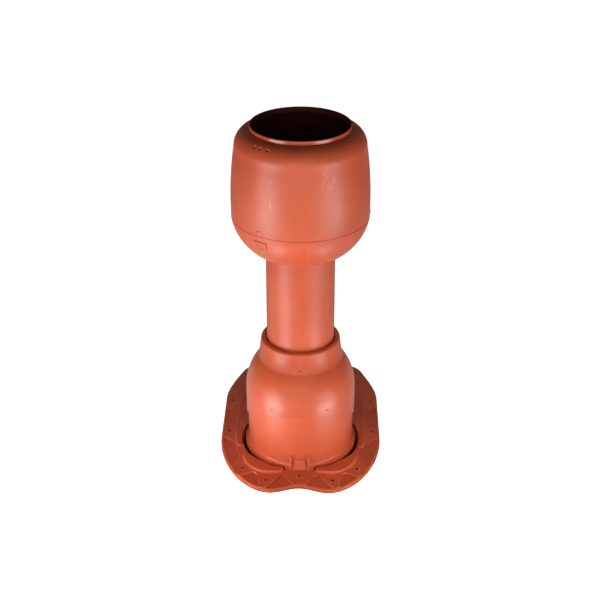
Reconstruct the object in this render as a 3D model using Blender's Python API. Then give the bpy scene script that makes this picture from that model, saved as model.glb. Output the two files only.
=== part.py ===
"""Roof vent pipe in moulded plastic: a flanged base, a tilting dome, a pipe, and a hood made in two halves.

Run with: blender --background --python part.py
Metres, +Z up, front towards -Y. The origin is under the middle of the flange, on the surface it stands on.
Plan sizes of the flange are measured from the barrel's upright axis.
"""
import math

import bmesh
import bpy
from mathutils import Vector

# Fits between the pieces
TOUCH_GAP = 0.0003
DOME_CLEARANCE = 0.0004
COLLAR_CLEARANCE = 0.002

# Pipe
PIPE_RADIUS = 0.080
PIPE_WALL = 0.003
PIPE_LENGTH = 0.297

# Dome: a ball shell over the barrel, with a collar on top and a skirt cut on the slant
DOME_RADIUS = 0.132
DOME_WALL = 0.003
BALL_HEIGHT = 0.169
COLLAR_WALL = 0.012
COLLAR_FLARE = 0.0055
COLLAR_HEIGHT = 0.050
COLLAR_ROUND = 0.005
SEAT_THICKNESS = 0.0055
SKIRT_SIDE_HEIGHT = 0.087
SKIRT_SLANT = math.radians(28.4)
SKIRT_BACK_GAP = 0.003

# Hood, lower half
BOWL_HEIGHT = 0.0905
BOWL_WALL = 0.003
BOWL_LIP = 0.0057
BOWL_POWER = 1.6
NECK_DEPTH = 0.0416
NECK_WALL = 0.003
STOP_THICKNESS = 0.003
SPIGOT_HEIGHT = 0.011

# Hood, upper half
HOOD_RADIUS = 0.1563
HOOD_HEIGHT = 0.210
HOOD_WALL = 0.003
WIDEST_HEIGHT = 0.033
SHOULDER_DROP = 0.049
SHOULDER_TAPER = 0.0099
RIM_RADIUS = 0.1122
RIM_WALL = 0.0037
RIM_DEPTH = 0.0095
RIM_OVERHANG = 0.001

# Base: barrel
BARREL_WALL = 0.003
TILT_ROOM = 0.024
LEDGE_WIDTH = 0.008
LEDGE_HEIGHT = 0.016
FOOT_ROUND = 0.007

# Base: flange
GUTTER_WIDTH = 0.0314
SHELF_WIDTH = 0.0385
FRONT_REACH = 0.085
BACK_REACH = 0.2164
SIDE_LENGTH = 0.179
LOBE_SPACING = 0.140
FRONT_DIP = 0.0165
FRONT_CORNER_POWER = 1.8
BACK_CORNER_INSET = 0.0365
BACK_CORNER_LENGTH = 0.131
BACK_CORNER_ROUND = 0.035
BACK_CORNER_LEAD = 0.020
FLANGE_HEIGHT = 0.010
EDGE_ROUND = 0.005
SHEET_THICKNESS = 0.0035
UNDER_LAND_WIDTH = 0.010
BARREL_LAND_WIDTH = 0.008

# Base: relief on the flange
BAY_DEPTH = 0.003
BAY_RIM = 0.006
SIDE_BAY_FRONT = 0.045
SIDE_BAY_BACK = 0.144
GROOVE_WIDTH = 0.006
GROOVE_FLOOR = 0.006
GROOVE_START = math.radians(15)
GROOVE_END_LENGTH = 0.020
GUTTER_HEIGHT = 0.018
FRONT_GUTTER_HEIGHT = 0.016
# Crest of a front wall: degrees from the front, and reach beyond the drain
FRONT_CREST = [(17.7, 0.0117), (30.3, 0.0277), (37.7, 0.0306), (46.2, 0.0292), (53.7, 0.023), (58.7, 0.0153)]
GUTTER_BACK_SHELF = 0.041
CREST_WIDTH = 0.003
CREST_FOOT = 0.0045
GUTTER_SLOPE = 0.013
SCREW_RADIUS = 0.0023
SCREW_INSET = 0.018

# Base: clip at the front of the barrel
FIN_SPACING = 0.0426
FIN_THICKNESS = 0.0048
FIN_HEIGHT = 0.045
FIN_SHOULDER = 0.026
FIN_REACH = 0.0125
BLOCK_WIDTH = 0.030
BLOCK_HEIGHT = 0.033
BLOCK_TOE = 0.012
BLOCK_REACH = 0.010
CLIP_TOP_REACH = 0.003

# How deep joined shapes sink into each other, and how far a cutter runs past what it cuts
SUNK = 0.001
PAST = 0.005

SEGMENTS = 36
BALL_STEP = math.radians(12)

# Sizes that follow from those above
barrel_radius = DOME_RADIUS - DOME_WALL - DOME_CLEARANCE
pipe_bore = PIPE_RADIUS - PIPE_WALL
collar_bore = PIPE_RADIUS + COLLAR_CLEARANCE
collar_radius = collar_bore + COLLAR_WALL
collar_foot_radius = collar_radius + COLLAR_FLARE
half_width = barrel_radius + GUTTER_WIDTH + SHELF_WIDTH
front = barrel_radius + FRONT_REACH
back = barrel_radius + BACK_REACH
axis_y = (front - back) / 2
ledge_radius = barrel_radius + LEDGE_WIDTH
groove_radius = ledge_radius + GROOVE_WIDTH


def height_on_ball(ball_radius, radius):
    """Height of a ball's surface, centred on the dome's ball, at a distance from the upright axis."""
    return BALL_HEIGHT + math.sqrt(ball_radius**2 - radius**2)


collar_top = height_on_ball(DOME_RADIUS, collar_foot_radius) + COLLAR_HEIGHT
pipe_seat = height_on_ball(DOME_RADIUS - DOME_WALL, pipe_bore) + SEAT_THICKNESS
pipe_bottom = pipe_seat + TOUCH_GAP
pipe_top = pipe_bottom + PIPE_LENGTH
stop_height = pipe_top + TOUCH_GAP
bowl_bottom = stop_height - NECK_DEPTH
seam_height = bowl_bottom + BOWL_HEIGHT
hood_bottom = seam_height + TOUCH_GAP
hood_top = hood_bottom + HOOD_HEIGHT


def clear_scene():
    """Remove every object of the start-up scene."""
    for item in list(bpy.data.objects):
        bpy.data.objects.remove(item, do_unlink=True)


def plastic(name, colour, roughness):
    """Moulded plastic of one colour."""
    made = bpy.data.materials.new(name)
    made.use_nodes = True
    shader = made.node_tree.nodes["Principled BSDF"]
    shader.inputs["Base Color"].default_value = (*colour, 1.0)
    shader.inputs["Roughness"].default_value = roughness
    shader.inputs["Metallic"].default_value = 0.0
    return made


def add_object(name, mesh, parent, material=None):
    """Turn a bmesh into an object under the barrel's axis; without a material it is a hidden guide."""
    bmesh.ops.remove_doubles(mesh, verts=mesh.verts, dist=1e-6)
    bmesh.ops.recalc_face_normals(mesh, faces=mesh.faces)
    data = bpy.data.meshes.new(name)
    mesh.to_mesh(data)
    mesh.free()
    made = bpy.data.objects.new(name, data)
    bpy.context.scene.collection.objects.link(made)
    made.parent = parent
    if material is None:
        made.display_type = "WIRE"
        made.hide_render = True
    else:
        data.materials.append(material)
        data.shade_smooth()
        data.set_sharp_from_angle(angle=math.radians(30))
    return made


def combine(target, operand, operation):
    """Boolean of one object with a hidden guide."""
    step = target.modifiers.new(operand.name, "BOOLEAN")
    step.operation = operation
    step.solver = "EXACT"
    step.object = operand


def bent(value, power):
    """A sine or cosine raised for a superellipse of the given power, with its sign kept."""
    return math.copysign(abs(value) ** (2 / power), value)


def arc(centre, radii, start, end, steps, power=2):
    """Points of an ellipse's or superellipse's arc; angles in degrees from outwards to upwards."""
    points = []
    for i in range(steps + 1):
        angle = math.radians(start + (end - start) * i / steps)
        points.append((centre[0] + radii[0] * bent(math.cos(angle), power),
                       centre[1] + radii[1] * bent(math.sin(angle), power)))
    return points


def ball_side(radius, end_radius):
    """Profile of a ball shell from its equator up to an opening, on facets that every ball here shares.

    Balls of different radii then stay parallel, facet by facet, so their clearance is the same all over.
    """
    end = math.acos(end_radius / radius)
    whole = int(end // BALL_STEP)
    points = []
    for i in range(whole + 1):
        points.append((radius * math.cos(i * BALL_STEP), BALL_HEIGHT + radius * math.sin(i * BALL_STEP)))
    reach = radius * math.cos(BALL_STEP / 2) / math.cos(end - (whole + 0.5) * BALL_STEP)
    points.append((reach * math.cos(end), BALL_HEIGHT + reach * math.sin(end)))
    return points


def turned(name, profile, parent, material=None):
    """Spin a closed profile of (radius, height) points once round the upright axis."""
    mesh = bmesh.new()
    verts = [mesh.verts.new((radius, 0, height)) for radius, height in profile]
    edges = [mesh.edges.new((verts[i - 1], verts[i])) for i in range(len(verts))]
    bmesh.ops.spin(mesh, geom=verts + edges, cent=(0, 0, 0), axis=(0, 0, 1), angle=math.tau, steps=SEGMENTS,
                   use_merge=True, use_duplicate=False)
    return add_object(name, mesh, parent, material)


def add_prism(mesh, outline, low, high):
    """Add a flat outline, extruded upwards, to a mesh; low is a height, or a plane as a function of y."""
    floor = low if callable(low) else lambda y: low
    face = mesh.faces.new([mesh.verts.new((x, y, floor(y))) for x, y in outline])
    raised = bmesh.ops.extrude_face_region(mesh, geom=[face])
    for item in raised["geom"]:
        if isinstance(item, bmesh.types.BMVert):
            item.co.z = high


def prism(name, outlines, low, high, parent):
    """Hidden guide made of one or more upright prisms."""
    mesh = bmesh.new()
    for outline in outlines:
        add_prism(mesh, outline, low, high)
    return add_object(name, mesh, parent)


def circle(radius, steps=SEGMENTS, centre=(0, 0)):
    """Points round a circle in plan, anticlockwise."""
    turns = [math.tau * i / steps for i in range(steps)]
    return [(centre[0] + radius * math.cos(turn), centre[1] + radius * math.sin(turn)) for turn in turns]


def curve_through(points, steps):
    """Smooth open curve in plan through the given points, with a number of steps between each two."""
    ends = [points[0]] + list(points) + [points[-1]]
    curve = []
    for before, first, second, after in zip(ends, ends[1:], ends[2:], ends[3:]):
        for i in range(steps):
            t = i / steps
            curve.append(tuple(
                b + t * ((c - a) + t * ((2 * a - 5 * b + 4 * c - d) + t * (3 * b - a - 3 * c + d))) / 2
                for a, b, c, d in zip(before, first, second, after)))
    return curve + [tuple(points[-1])]


def bezier(start, pull_start, pull_end, end, steps):
    """Cubic curve in plan, without its first point."""
    points = []
    for i in range(1, steps + 1):
        t = i / steps
        s = 1 - t
        points.append(tuple(s**3 * a + 3 * s * s * t * b + 3 * s * t * t * c + t**3 * d
                            for a, b, c, d in zip(start, pull_start, pull_end, end)))
    return points


def mirrored(points):
    """The same points on the left side, in reverse order, so that an outline keeps its sense."""
    return [(-x, y) for x, y in reversed(points)]


def flange_outline():
    """Edge of the flange, anticlockwise from the middle of its front: two lobes in front, straight sides."""
    lobe = LOBE_SPACING / 2
    dip_steps = 5
    right = []
    for i in range(dip_steps):
        x = lobe * i / dip_steps
        right.append((x, -front + FRONT_DIP * (1 + math.cos(math.pi * x / lobe)) / 2))
    corner_steps = 10
    for i in range(corner_steps + 1):
        turn = math.pi / 2 * i / corner_steps
        across = lobe + (half_width - lobe) * bent(math.sin(turn), FRONT_CORNER_POWER)
        right.append((across, -front * bent(math.cos(turn), FRONT_CORNER_POWER)))
    side_end = (half_width, SIDE_LENGTH)
    corner = (half_width - BACK_CORNER_INSET, SIDE_LENGTH + BACK_CORNER_LENGTH)
    corner_end = (corner[0] - BACK_CORNER_ROUND - BACK_CORNER_LEAD, back)
    right.append(side_end)
    right += bezier(side_end, (half_width, SIDE_LENGTH + BACK_CORNER_LENGTH / 3),
                    (corner[0] + BACK_CORNER_ROUND * 0.45, corner[1] - 0.040), corner, 5)
    right += bezier(corner, (corner[0] - 0.008, corner[1] + 0.020),
                    (corner_end[0] + BACK_CORNER_ROUND * 0.85, back), corner_end, 4)
    return right + [(0, back)] + mirrored(right[1:])


def flange_prism(name, inset, low, high, parent):
    """Hidden guide with the flange's outline drawn in by an inset."""
    mesh = bmesh.new()
    face = mesh.faces.new([mesh.verts.new((x, y, low)) for x, y in flange_outline()])
    ring = bmesh.ops.inset_region(mesh, faces=[face], thickness=inset, use_even_offset=True)
    bmesh.ops.delete(mesh, geom=ring["faces"], context="FACES")
    raised = bmesh.ops.extrude_face_region(mesh, geom=list(mesh.faces))
    lifted = [item for item in raised["geom"] if isinstance(item, bmesh.types.BMVert)]
    bmesh.ops.translate(mesh, verts=lifted, vec=(0, 0, high - low))
    return add_object(name, mesh, parent)


def flange_plate(parent, material):
    """The flange as a plate with a rounded upper edge."""
    mesh = bmesh.new()
    face = mesh.faces.new([mesh.verts.new((x, y, 0)) for x, y in flange_outline()])
    raised = bmesh.ops.extrude_face_region(mesh, geom=[face])
    lifted = [item for item in raised["geom"] if isinstance(item, bmesh.types.BMVert)]
    bmesh.ops.translate(mesh, verts=lifted, vec=(0, 0, FLANGE_HEIGHT - EDGE_ROUND))
    top = [item for item in raised["geom"] if isinstance(item, bmesh.types.BMFace)]
    top[0].normal_update()
    round_steps = 3
    for i in range(round_steps):
        first = math.pi / 2 * i / round_steps
        second = math.pi / 2 * (i + 1) / round_steps
        inset = EDGE_ROUND * (math.cos(first) - math.cos(second))
        rise = EDGE_ROUND * (math.sin(second) - math.sin(first))
        bmesh.ops.inset_region(mesh, faces=top, thickness=inset, depth=rise, use_even_offset=True)
    return add_object("base", mesh, parent, material)


def swept_wall(mesh, stations):
    """Add a wall to a mesh: stations are lists of the same number of points round its section."""
    rings = [[mesh.verts.new(point) for point in station] for station in stations]
    for here, there in zip(rings, rings[1:]):
        for i in range(len(here)):
            mesh.faces.new((here[i - 1], here[i], there[i], there[i - 1]))
    mesh.faces.new(rings[0])
    mesh.faces.new(rings[-1])


def wall_station(crest, outwards, toe, top):
    """Section of a gutter wall: a steep outer face, a narrow crest and a long slope down to its toe."""
    crest, outwards, toe = Vector(crest), Vector(outwards), Vector(toe)
    buried = FLANGE_HEIGHT - SUNK
    foot = crest + outwards * CREST_FOOT
    outer = crest + outwards * (CREST_WIDTH / 2)
    inner = crest - outwards * (CREST_WIDTH / 2)
    return [(*foot, buried), (*outer, top), (*inner, top), (*toe, buried)]


def outward_normals(path):
    """Unit normals on the right-hand side of an open path in plan."""
    normals = []
    for i in range(len(path)):
        before = Vector(path[max(i - 1, 0)])
        after = Vector(path[min(i + 1, len(path) - 1)])
        along = (after - before).normalized()
        normals.append(Vector((along.y, -along.x)))
    return normals


def gutter_walls(parent):
    """Long wall round the sides and back of the barrel, and two short curved ones in front of it."""
    crest_x = barrel_radius + GUTTER_WIDTH
    mesh = bmesh.new()
    behind = back - GUTTER_BACK_SHELF
    side = [(crest_x - 0.010, -0.047), (crest_x - 0.002, -0.020), (crest_x, 0.015),
            (crest_x, SIDE_LENGTH - 0.014), (crest_x - 0.008, behind - 0.056),
            (crest_x - 0.042, behind - 0.015), (0.058, behind), (0, behind)]
    path = curve_through(side + mirrored(side)[1:], 3)
    stations = []
    for point, outwards in zip(path, outward_normals(path)):
        toe = Vector(point) - outwards * GUTTER_SLOPE
        stations.append(wall_station(point, outwards, toe, GUTTER_HEIGHT))
    swept_wall(mesh, stations)
    short = []
    for turn, reach in FRONT_CREST:
        radius = groove_radius + reach
        short.append((radius * math.sin(math.radians(turn)), -radius * math.cos(math.radians(turn))))
    right = curve_through(short, 2)
    for path in (right, mirrored(right)):
        stations = []
        for point, outwards in zip(path, outward_normals(path)):
            toe = Vector(point).normalized() * groove_radius
            stations.append(wall_station(point, outwards, toe, FRONT_GUTTER_HEIGHT))
        swept_wall(mesh, stations)
    return add_object("gutter_walls", mesh, parent)


def bay_outlines():
    """Sunken bays of the flange on the right side, each closed beyond the flange's edge."""
    side = half_width
    corner = [(side - 0.004, 0.0), (side - 0.0355, -0.026), (side - 0.046, -0.066), (side - 0.0515, -0.089),
              (side - 0.0425, -0.118), (side - 0.038, -0.145), (side + 0.020, -0.145), (side + 0.020, 0.006)]
    front_bay = [(0.143, 0.0515 - front), (0.112, 0.0695 - front), (0.100, 0.0605 - front),
                 (0.096, 0.0435 - front), (0.092, -front), (0.160, -front)]
    middle = [(0.086, -front), (0.0685, 0.0255 - front), (0.045, 0.0605 - front), (0.034, 0.0555 - front),
              (0.015, 0.0215 - front), (0.004, -front)]
    back_bay = [(0.118, back + 0.010), (0.134, back - 0.048), (0.128, back - 0.066), (0.104, back - 0.046),
                (0.088, back - 0.022), (0.082, back + 0.010)]
    return [corner, front_bay, middle, back_bay]


def side_bay_outline():
    """Sunken bay along the straight side, drawn on past its front end, where its floor has climbed out."""
    side = half_width
    end = SIDE_BAY_FRONT - PAST
    return [(side + 0.010, SIDE_BAY_BACK), (side - 0.029, SIDE_BAY_BACK - 0.028), (side - 0.031, end),
            (side + 0.010, end)]


def cut_bays(base, parent):
    """Sink the bays into the flange, inside its rim."""
    floor = FLANGE_HEIGHT - BAY_DEPTH
    above = FLANGE_HEIGHT + PAST
    limit = flange_prism("bay_limit", BAY_RIM, floor - PAST, above + PAST, parent)
    flat = bay_outlines()
    cutter = prism("bay_cutter", flat + [mirrored(outline) for outline in flat], floor, above, parent)
    combine(cutter, limit, "INTERSECT")
    combine(base, cutter, "DIFFERENCE")
    ramp = side_bay_outline()
    climb = BAY_DEPTH / (SIDE_BAY_BACK - SIDE_BAY_FRONT)
    slope = prism("side_bay_cutter", [ramp, mirrored(ramp)], lambda y: floor + climb * (SIDE_BAY_BACK - y),
                  above, parent)
    combine(slope, limit, "INTERSECT")
    combine(base, slope, "DIFFERENCE")


def screw_places():
    """Centres of the screw holes near the flange's edge."""
    side = [(half_width - 0.060, -0.132), (half_width - SCREW_INSET, 0.022),
            (half_width - SCREW_INSET, SIDE_LENGTH - 0.019), (half_width - 0.0525, back - 0.042),
            (0.075, back - SCREW_INSET), (0.079, 0.0355 - front)]
    return [(0, 0.053 - front), (0, back - SCREW_INSET)] + side + mirrored(side)


def barrel_shell(parent):
    """Barrel with a ball-shaped top that carries the dome, and a ledge round its foot."""
    inner = barrel_radius - BARREL_WALL
    opening = PIPE_RADIUS + TILT_ROOM
    outside = list(reversed(ball_side(barrel_radius, opening)))
    fillet = (barrel_radius + FOOT_ROUND, LEDGE_HEIGHT + FOOT_ROUND)
    outside += [(fillet[0] - x, fillet[1] - z) for x, z in arc((0, 0), (FOOT_ROUND, FOOT_ROUND), 0, 90, 2)]
    outside += [(ledge_radius, LEDGE_HEIGHT), (ledge_radius, 0)]
    inside = [(inner, 0)] + ball_side(inner, opening)
    return turned("barrel_guide", outside + inside, parent)


def clip_solid(mesh, low_x, high_x, height, shoulder, reach):
    """Add one upright solid rooted in the barrel's wall; its front leans in above its shoulder."""
    outer_x = max(abs(low_x), abs(high_x))
    root = SUNK - math.sqrt(barrel_radius**2 - outer_x**2)
    buried = FLANGE_HEIGHT - SUNK
    tip = -barrel_radius - reach
    section = [(root, buried), (root, height), (-barrel_radius - CLIP_TOP_REACH, height), (tip, shoulder),
               (tip, buried)]
    swept_wall(mesh, [[(x, y, z) for y, z in section] for x in (low_x, high_x)])


def clip(parent):
    """Two upright fins and a sloping block between them, at the front of the barrel."""
    mesh = bmesh.new()
    for side in (-1, 1):
        low_x = side * FIN_SPACING / 2 - FIN_THICKNESS / 2
        clip_solid(mesh, low_x, low_x + FIN_THICKNESS, FIN_HEIGHT, FIN_SHOULDER, FIN_REACH)
    clip_solid(mesh, -BLOCK_WIDTH / 2, BLOCK_WIDTH / 2, BLOCK_HEIGHT, BLOCK_TOE, BLOCK_REACH)
    return add_object("clip_guide", mesh, parent)


def groove_outline():
    """Plan of the drain round the ledge, open at the front where the clip stands."""
    steps = 40
    start = -math.pi / 2 + GROOVE_START
    sweep = math.tau - 2 * GROOVE_START
    turns = [start + sweep * i / steps for i in range(steps + 1)]
    outer = [(groove_radius * math.cos(turn), groove_radius * math.sin(turn)) for turn in turns]
    inner = [(ledge_radius * math.cos(turn), ledge_radius * math.sin(turn)) for turn in reversed(turns)]
    return outer + inner


def groove_end_outline():
    """Plan of the drain's right end, where it turns forward round the end of the front wall."""
    near = ledge_radius * math.sin(GROOVE_START)
    far = near + GROOVE_WIDTH
    start = -ledge_radius * math.cos(GROOVE_START)
    return [(near, start - GROOVE_END_LENGTH), (far, start - GROOVE_END_LENGTH), (far, start), (near, start)]


def build_base(parent, material):
    """Flange, barrel, gutters and clip, moulded in one."""
    base = flange_plate(parent, material)
    recess = flange_prism("under_recess", UNDER_LAND_WIDTH, -PAST, SHEET_THICKNESS, parent)
    land = prism("barrel_land", [circle(groove_radius + BARREL_LAND_WIDTH)], -2 * PAST, FLANGE_HEIGHT, parent)
    combine(recess, land, "DIFFERENCE")
    combine(base, recess, "DIFFERENCE")
    cut_bays(base, parent)
    opening = circle(barrel_radius + LEDGE_WIDTH / 2)
    well = prism("well", [opening], -PAST, FLANGE_HEIGHT + LEDGE_HEIGHT, parent)
    combine(base, well, "DIFFERENCE")
    combine(base, barrel_shell(parent), "UNION")
    combine(base, gutter_walls(parent), "UNION")
    combine(base, clip(parent), "UNION")
    groove = prism("groove", [groove_outline()], GROOVE_FLOOR, LEDGE_HEIGHT, parent)
    combine(base, groove, "DIFFERENCE")
    end = groove_end_outline()
    ends = prism("groove_ends", [end, mirrored(end)], GROOVE_FLOOR, FRONT_GUTTER_HEIGHT + PAST, parent)
    combine(base, ends, "DIFFERENCE")
    screws = prism("screw_holes", [circle(SCREW_RADIUS, 8, place) for place in screw_places()], -PAST,
                   FLANGE_HEIGHT + PAST, parent)
    combine(base, screws, "DIFFERENCE")


def build_dome(parent, material):
    """Ball shell with a collar that takes the pipe, and a skirt that is cut on the slant."""
    centre = (0, BALL_HEIGHT)
    inner_ball = DOME_RADIUS - DOME_WALL
    foot = LEDGE_HEIGHT + FOOT_ROUND + SKIRT_BACK_GAP
    collar_angle = math.degrees(math.acos(collar_foot_radius / DOME_RADIUS))
    rounding = (collar_radius - COLLAR_ROUND, collar_top - COLLAR_ROUND)
    bore_round = COLLAR_ROUND / 2
    bore_edge = (collar_bore + bore_round, collar_top - bore_round)
    profile = arc(bore_edge, (bore_round, bore_round), 180, 90, 2)
    profile += arc(rounding, (COLLAR_ROUND, COLLAR_ROUND), 90, 0, 3)
    profile += arc(centre, (DOME_RADIUS, DOME_RADIUS), collar_angle, 0, 6)
    profile += [(DOME_RADIUS, foot), (inner_ball, foot)]
    profile += ball_side(inner_ball, pipe_bore)
    profile += [(pipe_bore, pipe_seat), (collar_bore, pipe_seat)]
    dome = turned("dome", profile, parent, material)
    reach = DOME_RADIUS * 2
    drop = math.tan(SKIRT_SLANT) * reach
    mesh = bmesh.new()
    slant = [(-reach, SKIRT_SIDE_HEIGHT + drop), (reach, SKIRT_SIDE_HEIGHT - drop), (-reach, -reach)]
    swept_wall(mesh, [[(x, y, z) for y, z in slant] for x in (-reach, reach)])
    combine(dome, add_object("skirt_cutter", mesh, parent), "DIFFERENCE")


def build_pipe(parent, material):
    """Straight pipe that stands on the seat inside the dome's collar."""
    profile = [(PIPE_RADIUS, pipe_bottom), (PIPE_RADIUS, pipe_top), (pipe_bore, pipe_top),
               (pipe_bore, pipe_bottom)]
    turned("pipe", profile, parent, material)


def build_bowl(parent, material):
    """Lower half of the hood: a bowl on a neck that sleeves the pipe and stops on its upper end."""
    neck_bore = PIPE_RADIUS + TOUCH_GAP
    neck_radius = neck_bore + NECK_WALL
    lip_radius = neck_bore + BOWL_LIP
    inner_rim = HOOD_RADIUS - HOOD_WALL
    spigot = inner_rim - TOUCH_GAP
    spigot_top = seam_height + SPIGOT_HEIGHT
    stop_top = stop_height + STOP_THICKNESS
    outer_curve = (HOOD_RADIUS - lip_radius, BOWL_HEIGHT)
    inner_curve = (spigot - BOWL_WALL - neck_radius, BOWL_HEIGHT - BOWL_WALL)
    profile = [(spigot, spigot_top), (spigot, seam_height)]
    profile += arc((lip_radius, seam_height), outer_curve, 0, -90, 8, BOWL_POWER)
    profile += [(neck_bore, bowl_bottom), (neck_bore, stop_height), (pipe_bore, stop_height)]
    profile += [(pipe_bore, stop_top), (neck_radius, stop_top)]
    profile += arc((neck_radius, seam_height), inner_curve, -90, 0, 5, BOWL_POWER)
    profile += [(spigot - BOWL_WALL, spigot_top)]
    turned("hood_bowl", profile, parent, material)


def hood_side(radius, widest, shoulder, steps):
    """Side of the hood's upper half, leaning in as it climbs from its widest height to the shoulder."""
    points = []
    for i in range(steps + 1):
        share = i / steps
        points.append((radius - SHOULDER_TAPER * share**2, widest + (shoulder - widest) * share))
    return points


def build_shell(parent, material):
    """Upper half of the hood: a round-shouldered shell with an open mouth and an upstanding rim."""
    widest = hood_bottom + WIDEST_HEIGHT
    shoulder = hood_top - SHOULDER_DROP
    rim_foot = hood_top - RIM_DEPTH
    rim_foot_radius = RIM_RADIUS - RIM_OVERHANG
    mouth = RIM_RADIUS - RIM_WALL
    edge = RIM_WALL / 2
    shoulder_reach = HOOD_RADIUS - SHOULDER_TAPER - rim_foot_radius
    inner_reach = HOOD_RADIUS - HOOD_WALL - SHOULDER_TAPER - mouth
    profile = [(HOOD_RADIUS, hood_bottom)] + hood_side(HOOD_RADIUS, widest, shoulder, 3)
    profile += arc((rim_foot_radius, shoulder), (shoulder_reach, rim_foot - shoulder), 0, 90, 6)[1:]
    profile += [(RIM_RADIUS, rim_foot), (RIM_RADIUS, hood_top - edge)]
    profile += arc((RIM_RADIUS - edge, hood_top - edge), (edge, edge), 0, 180, 4)[1:]
    profile += arc((mouth, shoulder), (inner_reach, rim_foot - HOOD_WALL - shoulder), 90, 0, 4)
    profile += list(reversed(hood_side(HOOD_RADIUS - HOOD_WALL, widest, shoulder, 2)))[1:]
    profile += [(HOOD_RADIUS - HOOD_WALL, hood_bottom)]
    turned("hood_shell", profile, parent, material)


def build():
    """Model the whole vent."""
    clear_scene()
    axis = bpy.data.objects.new("barrel_axis", None)
    axis.location = (0, axis_y, 0)
    bpy.context.scene.collection.objects.link(axis)
    terracotta = (0.62, 0.135, 0.075)
    build_base(axis, plastic("base_plastic", terracotta, 0.42))
    build_dome(axis, plastic("dome_plastic", terracotta, 0.38))
    build_pipe(axis, plastic("pipe_plastic", terracotta, 0.38))
    build_bowl(axis, plastic("bowl_plastic", terracotta, 0.40))
    build_shell(axis, plastic("shell_plastic", terracotta, 0.38))


build()
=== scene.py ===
# %% [markdown]
# A roof vent pipe in terracotta plastic
#
# The vent is five mouldings stacked on one upright axis: a flanged base with a barrel, a dome that was
# turned to the roof's pitch, a straight pipe, and a hood made in two halves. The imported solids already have
# the right sizes and places. This notebook makes the surfaces that are seen: finer turned shells, the relief
# of the flange, and the satin plastic with its small scuffs. Every size below is in metres.

# %% Load the frame
import math
import bmesh
import bpy
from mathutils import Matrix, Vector


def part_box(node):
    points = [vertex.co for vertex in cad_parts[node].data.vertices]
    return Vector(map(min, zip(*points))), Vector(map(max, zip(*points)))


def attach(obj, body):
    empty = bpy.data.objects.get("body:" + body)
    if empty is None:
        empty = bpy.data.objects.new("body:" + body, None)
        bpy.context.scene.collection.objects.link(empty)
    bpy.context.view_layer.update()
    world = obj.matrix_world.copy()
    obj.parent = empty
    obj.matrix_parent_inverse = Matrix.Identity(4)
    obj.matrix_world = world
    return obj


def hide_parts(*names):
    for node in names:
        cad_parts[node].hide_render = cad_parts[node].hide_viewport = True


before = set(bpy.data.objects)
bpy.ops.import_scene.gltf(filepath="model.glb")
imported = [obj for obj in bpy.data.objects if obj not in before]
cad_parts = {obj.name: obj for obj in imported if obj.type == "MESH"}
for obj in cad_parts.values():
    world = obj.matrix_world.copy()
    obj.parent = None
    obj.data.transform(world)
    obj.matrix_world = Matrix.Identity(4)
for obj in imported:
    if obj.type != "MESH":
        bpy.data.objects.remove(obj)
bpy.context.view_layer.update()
print("solids:", ", ".join(sorted(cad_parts)))

# %% [markdown]
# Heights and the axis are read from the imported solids, so that every shell starts where its solid does.
# The barrel's axis runs through the middle of the pipe, the hood and the dome alike.

# %% Driving heights and radii
pipe_low, pipe_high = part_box("pipe")
hood_low, hood_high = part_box("hood_shell")
bowl_low, bowl_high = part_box("hood_bowl")
dome_low, dome_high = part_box("dome")
base_low, base_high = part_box("base")
AXIS_Y = (pipe_low.y + pipe_high.y) / 2
PIPE_RADIUS = (pipe_high.x - pipe_low.x) / 2
HOOD_RADIUS = (hood_high.x - hood_low.x) / 2
DOME_RADIUS = (dome_high.x - dome_low.x) / 2
HALF_WIDTH = (base_high.x - base_low.x) / 2
FRONT = AXIS_Y - base_low.y
BACK = base_high.y - AXIS_Y
WALL = 0.003
MERGE = 0.00001
ROUND_STEPS = 144
print("axis at y", round(AXIS_Y, 4), "and a pipe radius of", round(PIPE_RADIUS, 4))

# %% [markdown]
# The camera stands where the photograph was taken from: about 2.7 m away, looking down by 28.6 degrees.
# The object is turned by one degree, so the camera stands a little to its right.

# %% Camera
VIEW_DISTANCE = 2.657
VIEW_ELEVATION = math.radians(28.6)
VIEW_TURN = math.radians(1.0)
AIM = Vector((0, AXIS_Y, 0.400))
LENS = 68.04
SENSOR_WIDTH = 36
PHOTO_WIDTH = 600
HALF_PIXEL_SHIFT = -0.5 / PHOTO_WIDTH

away = Vector((math.sin(VIEW_TURN) * math.cos(VIEW_ELEVATION),
               -math.cos(VIEW_TURN) * math.cos(VIEW_ELEVATION), math.sin(VIEW_ELEVATION)))
bpy.ops.object.camera_add(location=AIM + away * VIEW_DISTANCE)
camera = bpy.context.object
camera.name = "studio_camera"
camera.rotation_euler = (-away).to_track_quat("-Z", "Y").to_euler()
camera.data.lens = LENS
camera.data.sensor_width = SENSOR_WIDTH
camera.data.clip_end = 100
camera.data.shift_x = HALF_PIXEL_SHIFT
bpy.context.scene.camera = camera
print("camera at", [round(v, 3) for v in camera.location])

# %% [markdown]
# The floor is one pale sheet that glows, so that the ground is as white as in the photograph, with a backdrop
# of the same white round it. The glow is for the camera alone: what the floor adds to the light on the vent
# comes from the panels that lie on it.


# %% Floor
FLOOR_SIZE = 30.0
BACKDROP_RADIUS = 14.4
STUDIO_GREY = (0.9, 0.9, 0.9)
STUDIO_GLOW = 0.97


def plain_material(name, colour, roughness, glow=0.0):
    """A plain surface for the studio."""
    made = bpy.data.materials.new(name)
    made.use_nodes = True
    shader = made.node_tree.nodes["Principled BSDF"]
    shader.inputs["Base Color"].default_value = (*colour, 1)
    shader.inputs["Roughness"].default_value = roughness
    shader.inputs["Emission Color"].default_value = (glow, glow, glow, 1)
    shader.inputs["Emission Strength"].default_value = 1.0
    return made


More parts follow.
